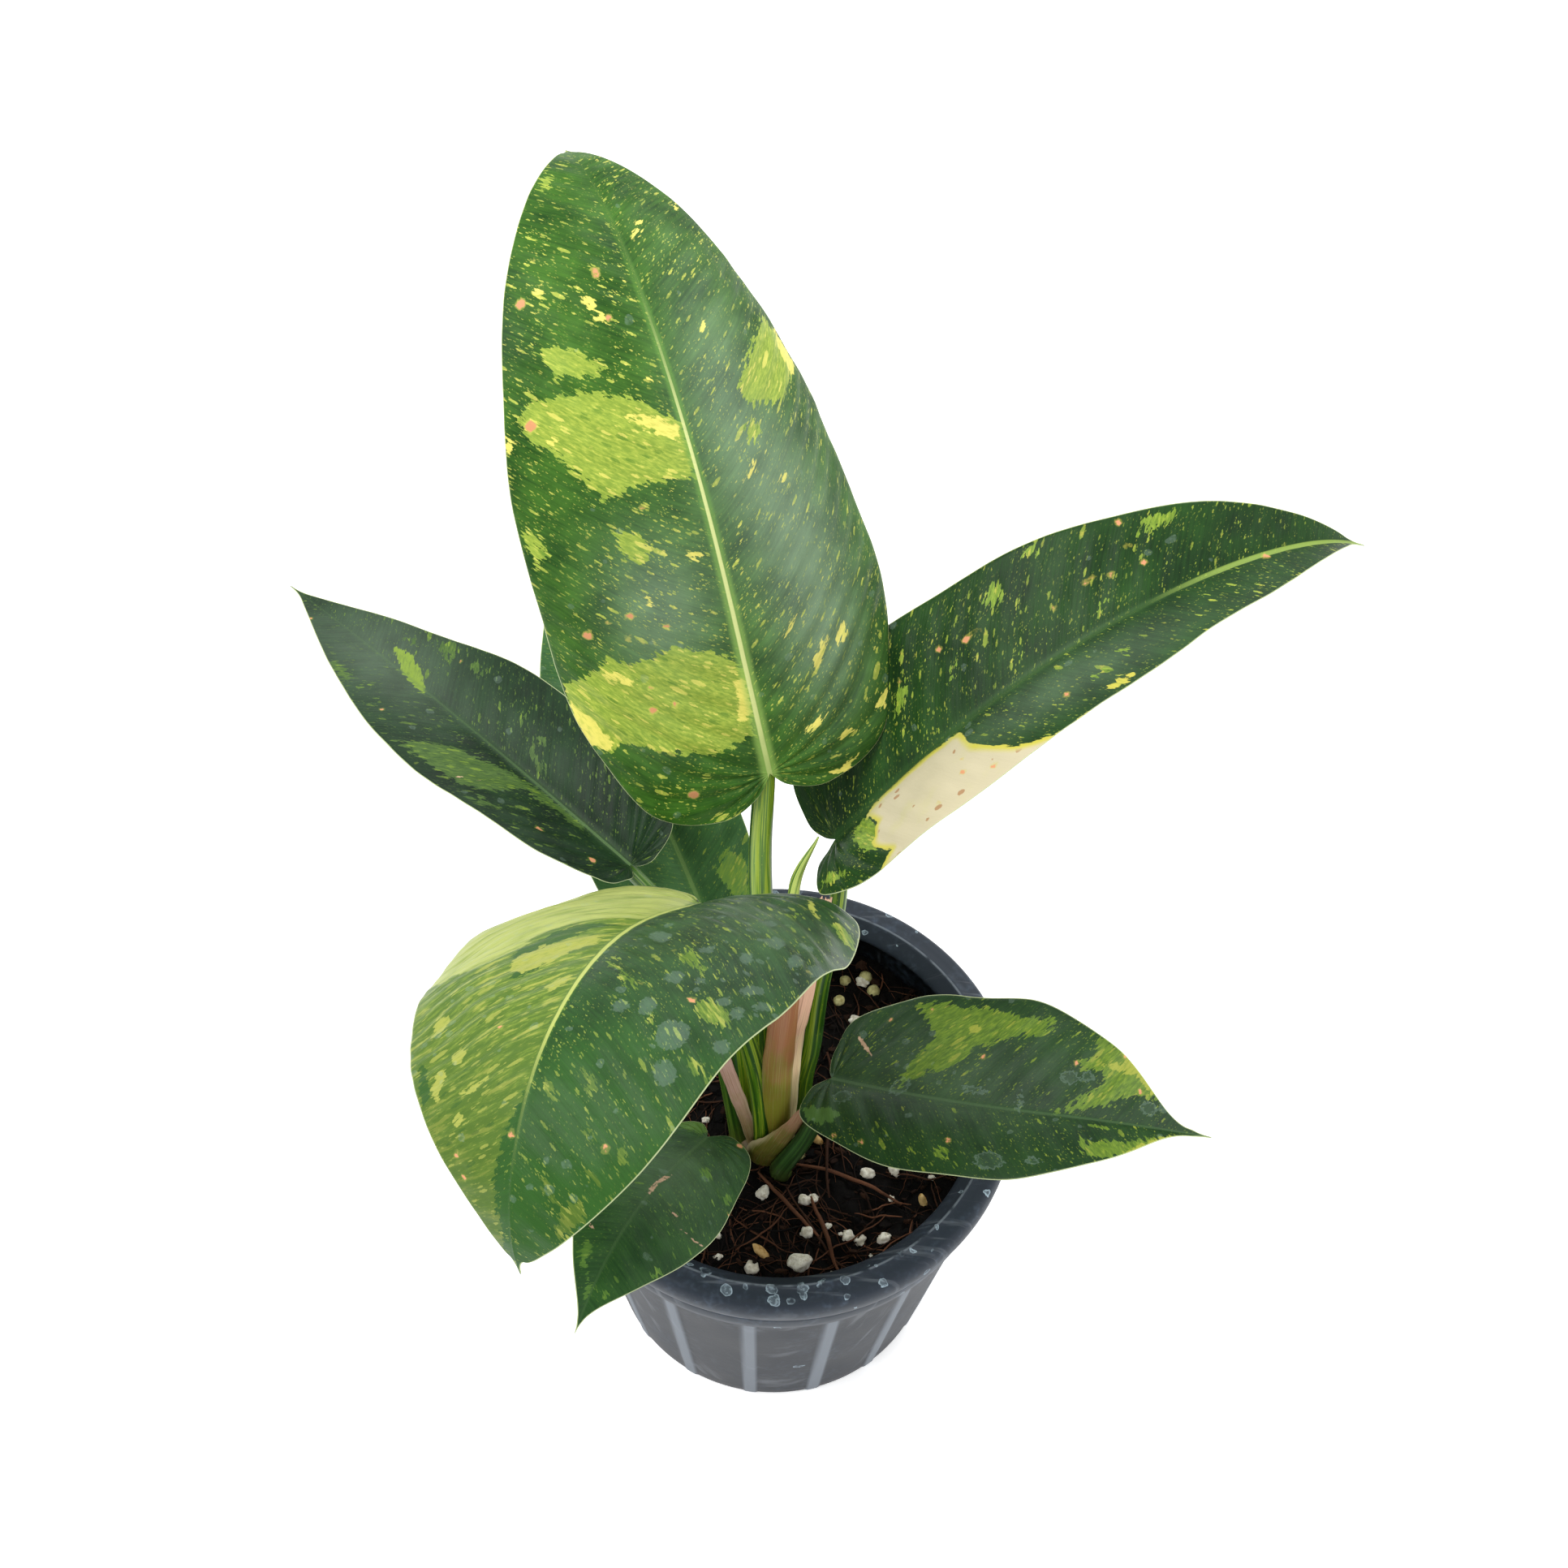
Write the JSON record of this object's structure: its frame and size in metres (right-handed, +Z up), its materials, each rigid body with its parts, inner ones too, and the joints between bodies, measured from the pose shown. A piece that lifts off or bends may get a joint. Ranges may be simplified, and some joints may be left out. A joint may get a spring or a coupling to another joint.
{
  "type": "potted variegated green congo philodendron",
  "caption": "Aroid house plant with broad variegated leaves on petioles, pink cataphylls and a rolled new leaf, in a tapered black nursery pot filled with potting mix.",
  "frame": {"origin": "middle of the pot's flat underside, where it rests", "axes": "+Z up, along the pot's axis; the picture looks along +Y from the front and above, with +X to its right"},
  "size_m": [0.3451, 0.3287, 0.3844],
  "materials": {
    "pot_plastic": "dark slate grey moulded plastic, scuffed, with pale mineral water marks",
    "potting_mix": "dark moist mix of coir, bark, perlite and pumice",
    "crown": "fleshy olive green stem tissue",
    "leaf": "smooth waxy leaf, dark green with lime, yellow and cream variegation",
    "new_leaf": "smooth rolled new leaf, mid green",
    "cataphyll": "thin satin sheath, salmon pink to olive"
  },
  "bodies": {
    "root": {"pot": "pot_plastic", "potting_mix": "potting_mix", "crown": "crown", "leaf_1": "leaf", "leaf_2": "leaf", "leaf_3": "leaf", "leaf_4": "leaf", "leaf_5": "leaf", "leaf_6": "leaf", "leaf_7": "leaf", "new_leaf": "new_leaf", "cataphyll_1": "cataphyll", "cataphyll_2": "cataphyll", "cataphyll_3": "cataphyll", "cataphyll_4": "cataphyll"}
  },
  "joints": []
}
